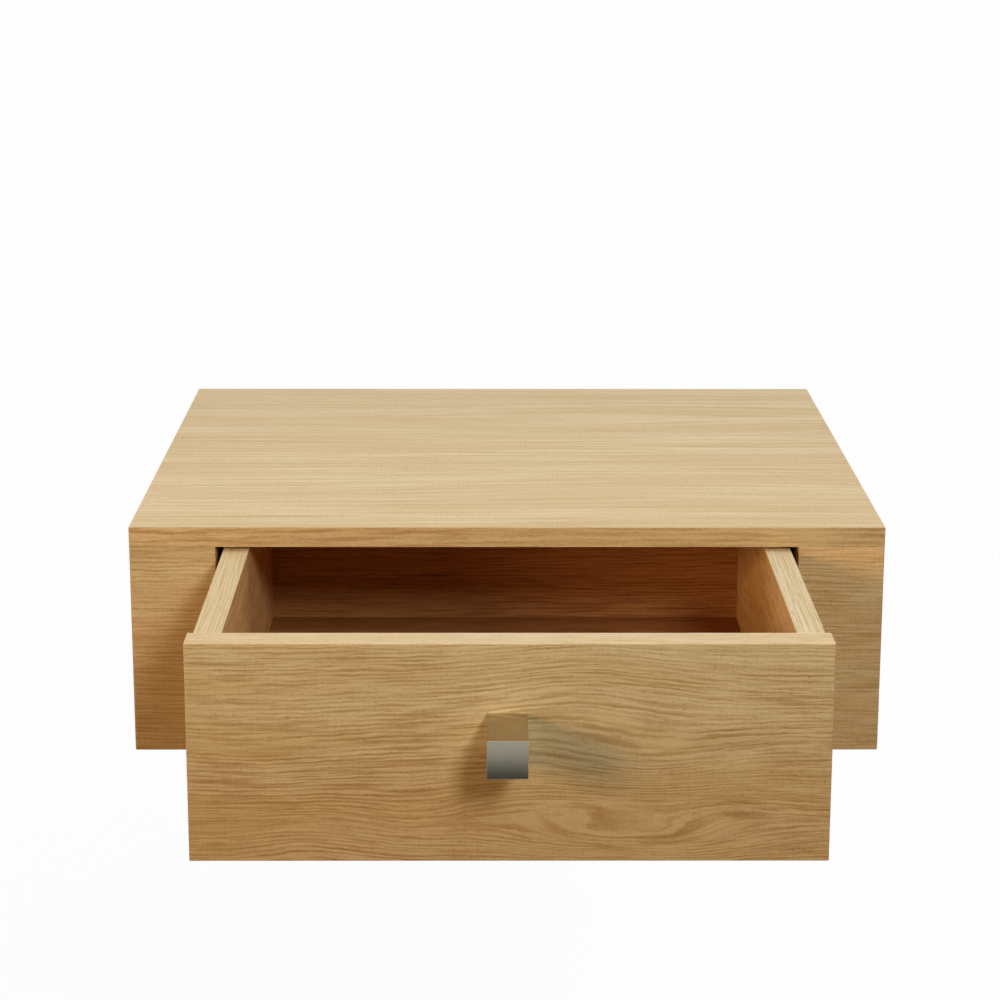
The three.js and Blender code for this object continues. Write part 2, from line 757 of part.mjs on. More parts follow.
// The clip: a moulded housing under the drawer bottom, against the front's back face.
// The lever's flat tongue slides through it sideways and locks into the rail's window.
function clip(s) {
  const near = runnerX - runnerHalf - clipRailGap;
  const far = near - clipWidth;
  const front = drawerFrontBackY + jointGap;
  const rear = front + clipLength;
  const outline = new THREE.Shape([
    v2(s * near, front),
    v2(s * near, rear),
    v2(s * (far + clipCorner), rear),
    v2(s * far, rear - clipCorner),
    v2(s * far, front),
  ]);
  const body = upright(outline, drawerRailTop - clipHeight, drawerRailTop);
  const slotX = [s * (near + clipRailGap), s * (far - clipRailGap)].sort((a, b) => a - b);
  const slot = block(
    v3(slotX[0], leverSlotFrontY, leverSlotBottom),
    v3(slotX[1], leverSlotRearY, leverSlotTop),
  );
  return cut(body, [slot]);
}

function lever(s) {
  const tip = runnerX - runnerHalf + leverReach;
  const far = runnerX - runnerHalf - clipRailGap - clipWidth - leverClearance;
  const middleY = (leverSlotFrontY + leverSlotRearY) / 2;
  const middleZ = (leverSlotTop + leverSlotBottom) / 2;
  const tongueX = [s * tip, s * (far - leverPadThickness)].sort((a, b) => a - b);
  const tongue = block(
    v3(tongueX[0], leverSlotFrontY + leverClearance, leverSlotBottom + leverClearance),
    v3(tongueX[1], leverSlotRearY - leverClearance, leverSlotTop - leverClearance),
  );
  const padX = [s * far, s * (far - leverPadThickness)].sort((a, b) => a - b);
  const pad = board(
    v3(padX[0], middleY - leverPadLength / 2, middleZ - leverPadHeight / 2),
    v3(padX[1], middleY + leverPadLength / 2, middleZ + leverPadHeight / 2),
    leverPadEase,
  );
  return join([tongue, pad]);
}

// The middle rails stand half way out, and the cages a quarter and three quarters.
const middleGroup = new THREE.Group();
middleGroup.position.y = -openAtRest / 2;
const lowCageGroup = new THREE.Group();
lowCageGroup.position.y = -openAtRest / 4;
const highCageGroup = new THREE.Group();
highCageGroup.position.y = (-openAtRest * 3) / 4;
pieces.add(middleGroup, lowCageGroup, highCageGroup);

// Each cage fills what two rails still share when the drawer is fully out.
const lowCageFrontY = runnerFrontY + fullTravel / 4 + cageEndGap;
const lowCageRearY = middleRearY - fullTravel / 4 - cageEndGap;
const highCageFrontY = middleFrontY + fullTravel / 4 + cageEndGap;
const highCageRearY = drawerRearY - fullTravel / 4 - cageEndGap;

sides.forEach(([side, s]) => {
  const x = s * runnerX;
  const cabinetLine = seated(channelLine(), x, cabinetRailBottom, 1);
  const cabinetRail = lengthwise(sheetShape(cabinetLine, sheet), runnerFrontY, runnerRearY);
  add(caseGroup, `runner_bracket_${side}`, bracket(s), zincSteel);
  add(caseGroup, `cabinet_rail_${side}`, cabinetRail, zincSteel);
  add(middleGroup, `middle_rail_${side}`, lengthwise(middleShape(x), middleFrontY, middleRearY), zincSteel);
  add(drawerGroup, `drawer_rail_${side}`, drawerRail(s), zincSteel);
  add(
    lowCageGroup,
    `lower_ball_cage_${side}`,
    cage(x, cabinetRailBottom, 1, lowCageFrontY, lowCageRearY),
    ballSteel,
  );
  add(
    highCageGroup,
    `upper_ball_cage_${side}`,
    cage(x, drawerRailTop, -1, highCageFrontY, highCageRearY),
    ballSteel,
  );
  add(drawerGroup, `locking_clip_${side}`, clip(s), greyPlastic);
  add(drawerGroup, `release_lever_${side}`, lever(s), orangePlastic);
});

// The origin is the middle of the wall cleat's back face.
pieces.position.z = -wallCleatMiddle;
const group = new THREE.Group();
group.add(pieces);

export default group;
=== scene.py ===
import math

import bpy
import numpy as np
from mathutils import Matrix, Vector


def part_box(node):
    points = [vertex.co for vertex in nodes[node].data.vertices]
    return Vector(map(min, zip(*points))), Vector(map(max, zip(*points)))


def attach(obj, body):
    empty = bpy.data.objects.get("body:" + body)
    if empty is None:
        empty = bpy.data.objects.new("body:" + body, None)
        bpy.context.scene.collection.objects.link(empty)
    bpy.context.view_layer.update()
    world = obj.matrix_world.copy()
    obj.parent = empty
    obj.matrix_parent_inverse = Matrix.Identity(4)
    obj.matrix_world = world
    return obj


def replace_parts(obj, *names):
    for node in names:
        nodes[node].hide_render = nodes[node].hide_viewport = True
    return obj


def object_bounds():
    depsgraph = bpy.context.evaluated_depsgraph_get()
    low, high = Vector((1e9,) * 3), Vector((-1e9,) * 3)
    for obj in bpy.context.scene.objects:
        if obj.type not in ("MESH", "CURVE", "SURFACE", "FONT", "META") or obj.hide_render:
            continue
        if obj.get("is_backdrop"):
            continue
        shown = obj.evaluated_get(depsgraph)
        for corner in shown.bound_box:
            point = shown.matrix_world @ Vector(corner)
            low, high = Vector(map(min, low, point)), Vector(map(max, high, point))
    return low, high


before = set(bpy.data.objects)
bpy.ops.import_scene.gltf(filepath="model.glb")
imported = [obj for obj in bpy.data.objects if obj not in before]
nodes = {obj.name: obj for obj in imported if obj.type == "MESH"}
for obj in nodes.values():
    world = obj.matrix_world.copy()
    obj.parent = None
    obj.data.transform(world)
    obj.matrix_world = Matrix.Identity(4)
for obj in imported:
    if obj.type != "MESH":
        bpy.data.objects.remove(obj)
cad_low, cad_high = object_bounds()
mm = 0.001


# Studio: a camera at standing height with a long lens, as for a catalogue picture, and soft
# lamps. The table hangs on its wall cleat, so the pale floor lies well below it.
camera_place = Vector((-0.0137, -2.1510, 0.5438))
camera_turn_right = math.radians(0.300)
camera_tilt_down = math.radians(14.159)
camera_roll = math.radians(0.087)
camera_lens = 96.04
camera_sensor = 36

level_right = Vector((math.cos(camera_turn_right), -math.sin(camera_turn_right), 0))
forward = Vector((
    math.sin(camera_turn_right) * math.cos(camera_tilt_down),
    math.cos(camera_turn_right) * math.cos(camera_tilt_down),
    -math.sin(camera_tilt_down),
))
level_up = level_right.cross(forward)
right = math.cos(camera_roll) * level_right + math.sin(camera_roll) * level_up
up = right.cross(forward)
camera_data = bpy.data.cameras.new("camera")
camera_data.lens = camera_lens
camera_data.sensor_width = camera_sensor
camera = bpy.data.objects.new("camera", camera_data)
turn = Matrix((right, up, -forward)).transposed().to_4x4()
camera.matrix_world = Matrix.Translation(camera_place) @ turn
bpy.context.scene.collection.objects.link(camera)
bpy.context.scene.camera = camera
bpy.context.scene.view_settings.view_transform = "Standard"

all_outputs = slice(None)


def linear(colour):
    """The linear RGBA of an sRGB hex colour."""
    srgb = np.array([int(colour[i:i + 2], 16) for i in (1, 3, 5)]) / 255
    rgb = np.where(srgb <= 0.04045, srgb / 12.92, ((srgb + 0.055) / 1.055) ** 2.4)
    return (*rgb.tolist(), 1.0)


def put(tree, kind, inputs=(), out=0, **settings):
    """Adds a node with its settings, gives its inputs values or links, by name or in order, and
    returns one of its outputs, or all_outputs. A colour Mix takes its share at input 0 and its
    colours at 6 and 7, and gives the mixed colour at output 2."""
    made = tree.nodes.new(kind)
    for name, value in settings.items():
        setattr(made, name, value)
    given = inputs.items() if isinstance(inputs, dict) else enumerate(inputs)
    for socket, value in given:
        if isinstance(value, bpy.types.NodeSocket):
            tree.links.new(value, made.inputs[socket])
        else:
            made.inputs[socket].default_value = value
    return made.outputs[out]


def empty_material(name):
    """A material with no nodes, and its tree."""
    material = bpy.data.materials.new(name)
    material.use_nodes = True
    material.node_tree.nodes.clear()
    return material, material.node_tree


def lamp(name, place, aim, size, power, colour, mirrored=True):
    """A square softbox that faces a point, and which bright metal mirrors or doesn't. Places
    and sizes are in metres and powers in watts."""
    data = bpy.data.lights.new(name, "AREA")
    data.shape = "SQUARE"
    data.size = size
    data.energy = power
    data.color = linear(colour)[:3]
    box = bpy.data.objects.new(name, data)
    box.location = place
    box.rotation_euler = (Vector(aim) - Vector(place)).to_track_quat("-Z", "Y").to_euler()
    box.visible_camera = False
    box.visible_glossy = mirrored
    bpy.context.scene.collection.objects.link(box)


drawer_middle = (0, -0.5, 0)
lamp("left_softbox", place=(-1.46, -1.91, 0.56), aim=drawer_middle, size=0.5, power=22.0,
     colour="#FFD4A5")
lamp("right_softbox", place=(0.62, -2.50, 1.19), aim=drawer_middle, size=0.42, power=28.5,
     colour="#FFFBEE")
lamp("overhead_softbox", place=(0, -0.21, 1.7), aim=(0, -0.21, 0), size=0.9, power=12.2,
     colour="#F2F6FF", mirrored=False)
lamp("low_softbox", place=(0, -0.24, -0.50), aim=(0, -0.24, 0), size=0.4, power=1.1,
     colour="#FFFFFF", mirrored=False)


def seen_directly(tree):
    """1 where the viewer sees the surface itself or its reflection, and 0 for the light it sheds."""
    rays = tree.nodes.new("ShaderNodeLightPath").outputs
    direct = put(tree, "ShaderNodeMath", (rays["Is Camera Ray"], rays["Is Glossy Ray"]), operation="MAXIMUM")
    return put(tree, "ShaderNodeMath", (direct, rays["Is Transmission Ray"]), operation="MAXIMUM")


# The room: it looks evenly white, but the light that it sheds comes almost only from behind
# the table, as from a pale wall, and reaches the table's sides and back.
light_from_front = 0.02
light_from_wall = 0.9
world = bpy.data.worlds.new("studio")
world.use_nodes = True
tree = world.node_tree
tree.nodes.clear()
towards = put(tree, "ShaderNodeTexCoord", out="Generated")
to_wall = put(tree, "ShaderNodeSeparateXYZ", (towards,), out="Y")
strength = put(tree, "ShaderNodeMapRange", (
    to_wall, -0.3, 1.0, light_from_front, light_from_wall,
), interpolation_type="SMOOTHSTEP")
shed = put(tree, "ShaderNodeBackground", {"Color": linear("#FFFFFF"), "Strength": strength})
look = put(tree, "ShaderNodeBackground", {"Color": linear("#FCFDFC"), "Strength": 1.0})
room = put(tree, "ShaderNodeMixShader", (seen_directly(tree), shed, look))
put(tree, "ShaderNodeOutputWorld", {"Surface": room}, out=all_outputs)
bpy.context.scene.world = world


def grains(tree, space, sizes, detail=2.0, roughness=0.5, seed=None):
    """A noise whose grains have these sizes in mm along the three axes of the space, where None
    is a grain without end. Noises with seeds of their own are unlike each other."""
    rates = tuple(0 if size is None else 1 / (size * mm) for size in sizes)
    inputs = {
        "Vector": put(tree, "ShaderNodeVectorMath", (space, rates), operation="MULTIPLY"),
        "Scale": 1.0, "Detail": detail, "Roughness": roughness,
    }
    if seed is None:
        return put(tree, "ShaderNodeTexNoise", inputs)
    return put(tree, "ShaderNodeTexNoise", {**inputs, "W": seed}, noise_dimensions="4D")


def flat_sheet(name, corners, material):
    """A plain four-cornered sheet of the studio."""
    mesh = bpy.data.meshes.new(name)
    mesh.from_pydata(corners, [], [(0, 1, 2, 3)])
    mesh.materials.append(material)
    sheet = bpy.data.objects.new(name, mesh)
    bpy.context.scene.collection.objects.link(sheet)
    sheet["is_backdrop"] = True
    return sheet


# The floor: matt paper that is a warm brown to the lamps, so the light it throws back up on the
# table is warm. To the viewer it is white, because it also glows by what that brown lacks, and
# it glows less under the table, where the lamps light it most. It can't be seen from below.
floor_height = -0.55
floor_reach = 40.0
far_glow = (0.950, 0.958, 0.979)
near_loss = (-1.0, -0.65, -0.2)
near_reach = 48 * mm
warm_paper, tree = empty_material("matt_warm_paper")
spot = put(tree, "ShaderNodeTexCoord", out="Object")
paper_colour = put(tree, "ShaderNodeMix", {
    0: grains(tree, spot, (2.5, 2.5, 2.5)), 6: linear("#6F5B32"), 7: linear("#755F35"),
}, out=2, data_type="RGBA")
lit = put(tree, "ShaderNodeBsdfDiffuse", {"Color": paper_colour})
distance = put(tree, "ShaderNodeVectorMath", (spot,), out="Value", operation="LENGTH")
nearness = put(tree, "ShaderNodeMath", (near_reach, distance), operation="DIVIDE")
glow_colour = put(tree, "ShaderNodeVectorMath", (nearness, near_loss, far_glow), operation="MULTIPLY_ADD")
glow = put(tree, "ShaderNodeEmission", {"Color": glow_colour, "Strength": seen_directly(tree)})
from_above = put(tree, "ShaderNodeAddShader", (lit, glow))
from_below = put(tree, "ShaderNodeBsdfTransparent")
under = put(tree, "ShaderNodeNewGeometry", out="Backfacing")
seen = put(tree, "ShaderNodeMixShader", (under, from_above, from_below))
put(tree, "ShaderNodeOutputMaterial", {"Surface": seen}, out=all_outputs)
flat_sheet("floor", [
    (-floor_reach, -floor_reach, floor_height),
    (floor_reach, -floor_reach, floor_height),
    (floor_reach, floor_reach, floor_height),
    (-floor_reach, floor_reach, floor_height),
], warm_paper)

# A graded grey card stands below the camera, out of its view, and only the bright metal
# mirrors it: dark at its foot and middle, and mid grey towards its head and sides. It is no
# lamp, yet it glows with these greys and lights nothing, so the dark and grey on the knob are
# painted reflections of it.
card_half_width = 0.9
card_y = -1.25
card_head = 0.1
dark_below = -0.26
grey_above = -0.10
side_grey_reach = 0.35
side_grey_share = 0.3
graded, tree = empty_material("graded_grey_card")
spot = put(tree, "ShaderNodeTexCoord", out="Object")
x, y, z = put(tree, "ShaderNodeSeparateXYZ", (spot,), out=all_outputs)
up_card = put(tree, "ShaderNodeMapRange", (z, dark_below, grey_above), interpolation_type="SMOOTHSTEP")
off_middle = put(tree, "ShaderNodeMath", (x,), operation="ABSOLUTE")
to_side = put(tree, "ShaderNodeMapRange", (off_middle, 0.0, side_grey_reach, 0.0, side_grey_share))
card_grey = put(tree, "ShaderNodeMix", {
    0: put(tree, "ShaderNodeMath", (up_card, to_side), operation="MAXIMUM"),
    6: linear("#060606"), 7: linear("#CDCFCF"),
}, out=2, data_type="RGBA")
card_glow = put(tree, "ShaderNodeEmission", {"Color": card_grey})
put(tree, "ShaderNodeOutputMaterial", {"Surface": card_glow}, out=all_outputs)
card = flat_sheet("card", [
    (-card_half_width, card_y, floor_height),
    (card_half_width, card_y, floor_height),
    (card_half_width, card_y, card_head),
    (-card_half_width, card_y, card_head),
], graded)
card.visible_camera = False
card.visible_diffuse = False
card.visible_shadow = False


# Case: an oak top laid over two hollow oak sides, whose front stiles meet the outer sides in
# mitres. The boards are rift-sawn, so the growth rings show as fine lines along the grain, and
# their thin satin lacquer has little sheen and leaves the pores open.
ring_tilt = math.radians(24)
ring_jitter = 16.0
growth_waves = ((320, 90, 9.0), (55, 22, 2.2), (17, 5, 1.9), (6, 2.5, 0.7))


def oak_figure(tree, turn, place, tones, spacing=2.7, bumps=(), seed=0.0, stretch=1.0,
               foot="#FFFFFF", heights=(0, 1)):
    """The colour, fibres and relief of rift-sawn oak, drawn in a board's own directions: along
    the grain, across the face and through the thickness. The growth rings follow ring =
    across - lifts + through * tan(tilt). A lift is a gentle wave, or a bump, (rise + fan *
    (across - middle)) * exp(-((along - start) / run)^2 - ((across - middle) / reach)^2), all in
    mm, and a fan spreads the lines as a knot does. Each ring is a dark line, a sine of ring
    over the spacing, which noises long in the grain break up, and the stretch makes them longer
    and straighter. Open pores are short dark pits, most of them in the lines. The foot of a
    board, at the lower of the two heights, is darkened by its foot colour as painted shade,
    which fades upwards."""
    spot = put(tree, "ShaderNodeTexCoord", out="Object")
    board = put(tree, "ShaderNodeMapping", {"Vector": spot, "Rotation": turn, "Location": place})
    along, across, through = put(tree, "ShaderNodeSeparateXYZ", (board,), out=all_outputs)

    # Gentle waves bend the fibres and the ring lines, and the bumps bend the ring lines more.
    wavy = across
    for run, reach, rise in growth_waves:
        noise = grains(tree, board, (run, reach, reach), detail=1.0, seed=seed)
        wave = put(tree, "ShaderNodeMath", (noise, -0.5), operation="ADD")
        wavy = put(tree, "ShaderNodeMath", (wave, rise / stretch * mm, wavy), operation="MULTIPLY_ADD")
    strands = put(tree, "ShaderNodeCombineXYZ", (along, wavy, through))

    lift = wavy
    for start, middle, run, reach, rise, fan in bumps:
        from_bump = put(tree, "ShaderNodeVectorMath", (
            board, (start * mm, middle * mm, 0),
        ), operation="SUBTRACT")
        off = put(tree, "ShaderNodeVectorMath", (
            from_bump, (1 / (run * mm), 1 / (reach * mm), 0),
        ), operation="MULTIPLY")
        squared = put(tree, "ShaderNodeVectorMath", (off, off), out="Value", operation="DOT_PRODUCT")
        falling = put(tree, "ShaderNodeMath", (squared, -1.0), operation="MULTIPLY")
        fade = put(tree, "ShaderNodeMath", (math.e, falling), operation="POWER")
        off_middle = put(tree, "ShaderNodeSeparateXYZ", (off,), out="Y")
        raised = put(tree, "ShaderNodeMath", (
            off_middle, -fan * reach * mm, -rise * mm,
        ), operation="MULTIPLY_ADD")
        lift = put(tree, "ShaderNodeMath", (fade, raised, lift), operation="MULTIPLY_ADD")
    ring = put(tree, "ShaderNodeMath", (through, math.tan(ring_tilt), lift), operation="MULTIPLY_ADD")
    grain = put(tree, "ShaderNodeCombineXYZ", (along, ring, through))

    # Noises along the ring lines, most of them sized by the line spacing, then along the fibres.
    uneven = grains(tree, grain, (120 * spacing, 4 * spacing, None), detail=1.0, seed=seed + 2)
    lines = grains(tree, grain, (14 * spacing * stretch, 0.5 * spacing, None), seed=seed + 3)
    bold = grains(tree, grain, (40 * spacing, 0.8 * spacing, None), detail=1.0, seed=seed + 5)
    groups = grains(tree, grain, (90 * spacing, 6 * spacing, None), detail=1.0, seed=seed + 6)
    bands = grains(tree, grain, (400, 26, 50), seed=seed + 7)
    fibres = grains(tree, strands, (7, 0.4, 0.4), roughness=0.6, seed=seed + 11)
    pits = grains(tree, strands, (3.5, 0.25, 0.25), detail=0.0, seed=seed + 13)
    ticks = grains(tree, strands, (0.8, 2.2, 2.2), detail=1.0, seed=seed + 17)

    even_turns = put(tree, "ShaderNodeMath", (ring, math.tau / (spacing * mm)), operation="MULTIPLY")
    turns = put(tree, "ShaderNodeMath", (uneven, ring_jitter, even_turns), operation="MULTIPLY_ADD")
    wave = put(tree, "ShaderNodeMath", (turns,), operation="SINE")
    year = put(tree, "ShaderNodeMath", (wave, 0.5, 0.5), operation="MULTIPLY_ADD")
    faint_year = put(tree, "ShaderNodeMath", (year, 0.28), operation="MULTIPLY")
    broken_year = put(tree, "ShaderNodeMath", (lines, 1.8, faint_year), operation="MULTIPLY_ADD")

    # Soft thresholds turn the noises into shares of the darker tones.
    smoothly = {"interpolation_type": "SMOOTHSTEP"}
    ring_line = put(tree, "ShaderNodeMapRange", (broken_year, 0.80, 1.40), **smoothly)
    grouped = put(tree, "ShaderNodeMapRange", (groups, 0.3, 0.65, 0.45, 0.85), **smoothly)
    fine_line = put(tree, "ShaderNodeMath", (ring_line, grouped), operation="MULTIPLY")
    bold_line = put(tree, "ShaderNodeMapRange", (bold, 0.58, 0.72, 0.0, 0.7), **smoothly)
    pit = put(tree, "ShaderNodeMapRange", (pits, 0.60, 0.72), **smoothly)
    near_line = put(tree, "ShaderNodeMapRange", (lines, 0.40, 0.62, 0.2, 1.0), **smoothly)
    pore = put(tree, "ShaderNodeMath", (pit, near_line), operation="MULTIPLY")
    pore_share = put(tree, "ShaderNodeMath", (pore, 0.6), operation="MULTIPLY")
    band = put(tree, "ShaderNodeMapRange", (bands, 0.32, 0.68), **smoothly)
    fibre = put(tree, "ShaderNodeMapRange", (fibres, 0.45, 0.75, 0.0, 0.4), **smoothly)

    rise = put(tree, "ShaderNodeMapRange", (across, *heights), **smoothly)
    shade = put(tree, "ShaderNodeMapRange", (ticks, 0.3, 0.7, 0.955, 1.035), **smoothly)
    colour, mid, dark, pore_colour = (linear(tone) for tone in tones)
    for share, tone in (
        (band, mid), (fine_line, dark), (bold_line, dark), (fibre, dark), (pore_share, pore_colour),
    ):
        colour = put(tree, "ShaderNodeMix", {0: share, 6: colour, 7: tone}, out=2, data_type="RGBA")
    # Painted shade: the colour is darkened towards the board's foot, less so higher up.
    foot_shade_tint = put(tree, "ShaderNodeMix", {
        0: rise, 6: linear(foot), 7: linear("#FFFFFF"),
    }, out=2, data_type="RGBA")
    foot_shaded = put(tree, "ShaderNodeVectorMath", (colour, foot_shade_tint), operation="MULTIPLY")
    colour = put(tree, "ShaderNodeVectorMath", {0: foot_shaded, "Scale": shade}, operation="SCALE")
    low_fibres = put(tree, "ShaderNodeMath", (fibres, 0.35), operation="MULTIPLY")
    relief = put(tree, "ShaderNodeMath", (pore, -1.0, low_fibres), operation="MULTIPLY_ADD")
    return colour, fibres, relief


def finish_node(node, material):
    """Gives a CAD node its finish."""
    nodes[node].data.materials.clear()
    nodes[node].data.materials.append(material)


# Along the edges the oak is painted paler: partly wear of the lacquer, partly a painted highlight of the
# rounded edges.
rubbed_highlight_oak = "#E6CFA2"
rub_highlight_most = 0.22
rub_highlight_fully = 0.7 * mm
rub_highlight_end = 1.8 * mm
rub_highlight_raggedness = 1.6 * mm


def oak_board(node, turn, tones, place=(0, 0, 0), strip_with_painted_light=None, **figure):
    """Lacquered oak on a board of the case or drawer. Along the board's edges, where a point's
    second smallest distance to the faces of the board's box is small, the lacquer is rubbed
    smoother and the colour paler, as wear and as a painted highlight. A strip is one edge face
    of the board with a figure of its own and tones that paint that face's light and shade: the
    way it faces, how far out it starts, its tones, line spacing and stretch."""
    material, tree = empty_material(f"satin_oak_{node}")
    spot = put(tree, "ShaderNodeTexCoord", out="Object")
    colour, fibres, relief = oak_figure(tree, turn, place, tones, **figure)
    # Painted light: the strip's face gets tones of its own, so faces that look up are paler than those that
    # look forward.
    if strip_with_painted_light:
        faces, start, strip_painted_tones, strip_spacing, strip_stretch = strip_with_painted_light
        figure.update(spacing=strip_spacing, stretch=strip_stretch, bumps=())
        strip_colour, *strip = oak_figure(tree, turn, place, strip_painted_tones, **figure)
        outwards = put(tree, "ShaderNodeVectorMath", (spot, faces), out="Value", operation="DOT_PRODUCT")
        on_strip = put(tree, "ShaderNodeMath", (outwards, start), operation="GREATER_THAN")
        colour = put(tree, "ShaderNodeMix", {
            0: on_strip, 6: colour, 7: strip_colour,
        }, out=2, data_type="RGBA")
        fibres, relief = (
            put(tree, "ShaderNodeMix", {0: on_strip, 2: of_board, 3: of_strip})
            for of_board, of_strip in zip((fibres, relief), strip)
        )

    low, high = (np.array(corner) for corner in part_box(node))
    from_middle = put(tree, "ShaderNodeVectorMath", (spot, tuple((low + high) / 2)), operation="SUBTRACT")
    off_middle = put(tree, "ShaderNodeVectorMath", (from_middle,), operation="ABSOLUTE")
    depths = put(tree, "ShaderNodeVectorMath", (tuple((high - low) / 2), off_middle), operation="SUBTRACT")
    x, y, z = put(tree, "ShaderNodeSeparateXYZ", (depths,), out=all_outputs)
    nearer = put(tree, "ShaderNodeMath", (x, y), operation="MINIMUM")
    farther = put(tree, "ShaderNodeMath", (x, y), operation="MAXIMUM")
    other = put(tree, "ShaderNodeMath", (farther, z), operation="MINIMUM")
    from_edge = put(tree, "ShaderNodeMath", (nearer, other), operation="MAXIMUM")
    ragged = put(tree, "ShaderNodeMath", (fibres, rub_highlight_raggedness, from_edge), operation="MULTIPLY_ADD")
    rub_highlight = put(tree, "ShaderNodeMapRange", (ragged, rub_highlight_fully, rub_highlight_end, rub_highlight_most, 0.0))
    colour = put(tree, "ShaderNodeMix", {
        0: rub_highlight, 6: colour, 7: linear(rubbed_highlight_oak),
    }, out=2, data_type="RGBA")
    rough = put(tree, "ShaderNodeMapRange", (fibres, 0.3, 0.7, 0.48, 0.62))
    surface = put(tree, "ShaderNodeBsdfPrincipled", {
        "Base Color": colour, "IOR": 1.48, "Specular IOR Level": 0.03,
        "Roughness": put(tree, "ShaderNodeMath", (rub_highlight, -0.3, rough), operation="MULTIPLY_ADD"),
        "Normal": put(tree, "ShaderNodeBump", {
            "Strength": 0.5, "Distance": 0.08 * mm, "Height": relief,
        }),
    })
    put(tree, "ShaderNodeOutputMaterial", {"Surface": surface}, out=all_outputs)
    finish_node(node, material)


lies_flat = (0, 0, 0)
stands_across = (math.radians(-90), 0, 0)
stands_left = (math.radians(-90), math.radians(90), 0)
stands_right = (math.radians(-90), math.radians(-90), 0)
# Painted light: the top, the drawer front's top face and the drawer sides' top faces are painted paler, for
# light from above and sheen.
upward_tones_with_painted_light = ("#E7D4AE", "#DCC49A", "#D2B686", "#AC8B58")
# Painted light: the right side's tones are lighter than the left's, to lift the shade the drawer casts on
# the right stile.
side_tones_lit_and_shaded = {
    "left": ("#CCBE99", "#C2AD85", "#A68A5A", "#89673B"),
    "right": ("#E3C99C", "#D9B788", "#B9945C", "#996D3D"),
}
front_edge_tones = ("#D2BB90", "#C8AD7F", "#AB8A5C", "#8B653B")
# Painted shade: the left stile and left side boards darken towards their foot.
side_foot = {"left": "#FBF2E8", "right": "#FFFFFF"}
case_heights = (cad_low[2], cad_high[2])
case_half_width = cad_high[0]
front_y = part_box("left_front_stile")[0][1]
strip_depth = 0.5 * mm
top_bumps = ((75, -112, 150, 40, 0, 1.12), (120, -330, 170, 70, 14, 0))

oak_board("top_panel", lies_flat, upward_tones_with_painted_light, spacing=8.0, seed=1.0, bumps=top_bumps,
          strip_with_painted_light=((0, -1, 0), -front_y - strip_depth, front_edge_tones, 1.9, 1.7))
for side, upright, sign in (("left", stands_left, -1), ("right", stands_right, 1)):
    # The lines run on round the mitre, from the stile along the side.
    round_corner = (sign * case_half_width - sign * front_y, 0, -front_y - case_half_width)
    oak_board(f"{side}_front_stile", stands_across, side_tones_lit_and_shaded[side], seed=2.0,
              foot=side_foot[side], heights=case_heights)
    for board in ("outer_side", "inner_side"):
        oak_board(f"{side}_{board}", upright, side_tones_lit_and_shaded[side], place=round_corner, seed=2.0,
                  foot=side_foot[side], heights=case_heights)
oak_board("bottom_panel", lies_flat, side_tones_lit_and_shaded["right"], place=(0.2, 0.1, 0), seed=3.0)


# Hidden boards of the case: birch plywood, glued up from peeled veneers and sanded. Its faces
# are calm and pale with short brown pores, and its cut edges show the plies as thin light and
# dark stripes. The back panel and spacers are glued in, and the two cleats are screwed on.
ply_thickness = 1.4 * mm


def birch_plywood(name, stripe_axis):
    """Sanded birch plywood. The plies are a wave across the sheet's thickness, which shows on
    cut edges and is slower than the face is wide, so a face keeps one tone."""
    material, tree = empty_material(name)
    spot = put(tree, "ShaderNodeTexCoord", out="Object")
    depth = put(tree, "ShaderNodeVectorMath", (spot, stripe_axis), out="Value", operation="DOT_PRODUCT")
    turns = put(tree, "ShaderNodeMath", (depth, math.pi / ply_thickness), operation="MULTIPLY")
    plies = put(tree, "ShaderNodeMath", (turns,), operation="SINE")
    figure = grains(tree, spot, (143, 5.26, 5.26), detail=3.0)
    pores = grains(tree, spot, (16.7, 0.909, 0.909))
    colour = linear("#E3CAA0")
    for limits, tone in (
        ((figure, 0.34, 0.70), "#CDA974"),
        ((pores, 0.48, 0.72, 0.0, 0.6), "#A88251"),
        ((plies, -0.4, 0.4, 0.0, 0.35), "#A97F4E"),
    ):
        share = put(tree, "ShaderNodeMapRange", limits)
        colour = put(tree, "ShaderNodeMix", {
            0: share, 6: colour, 7: linear(tone),
        }, out=2, data_type="RGBA")
    surface = put(tree, "ShaderNodeBsdfPrincipled", {
        "Base Color": colour,
        "Roughness": put(tree, "ShaderNodeMapRange", (figure, 0.3, 0.7, 0.55, 0.7)),
        "Normal": put(tree, "ShaderNodeBump", {"Strength": 0.4, "Distance": 0.1 * mm, "Height": figure}),
    })
    put(tree, "ShaderNodeOutputMaterial", {"Surface": surface}, out=all_outputs)
    return material


sheet_across = birch_plywood("sanded_birch_plywood_across", (0, 1, 0))
sheet_sideways = birch_plywood("sanded_birch_plywood_sideways", (1, 0, 0))
for name in ("back_panel", "case_cleat", "wall_cleat"):
    finish_node(name, sheet_across)
for side in ("left", "right"):
    for end in ("front", "rear"):
        finish_node(f"{side}_{end}_spacer", sheet_sideways)


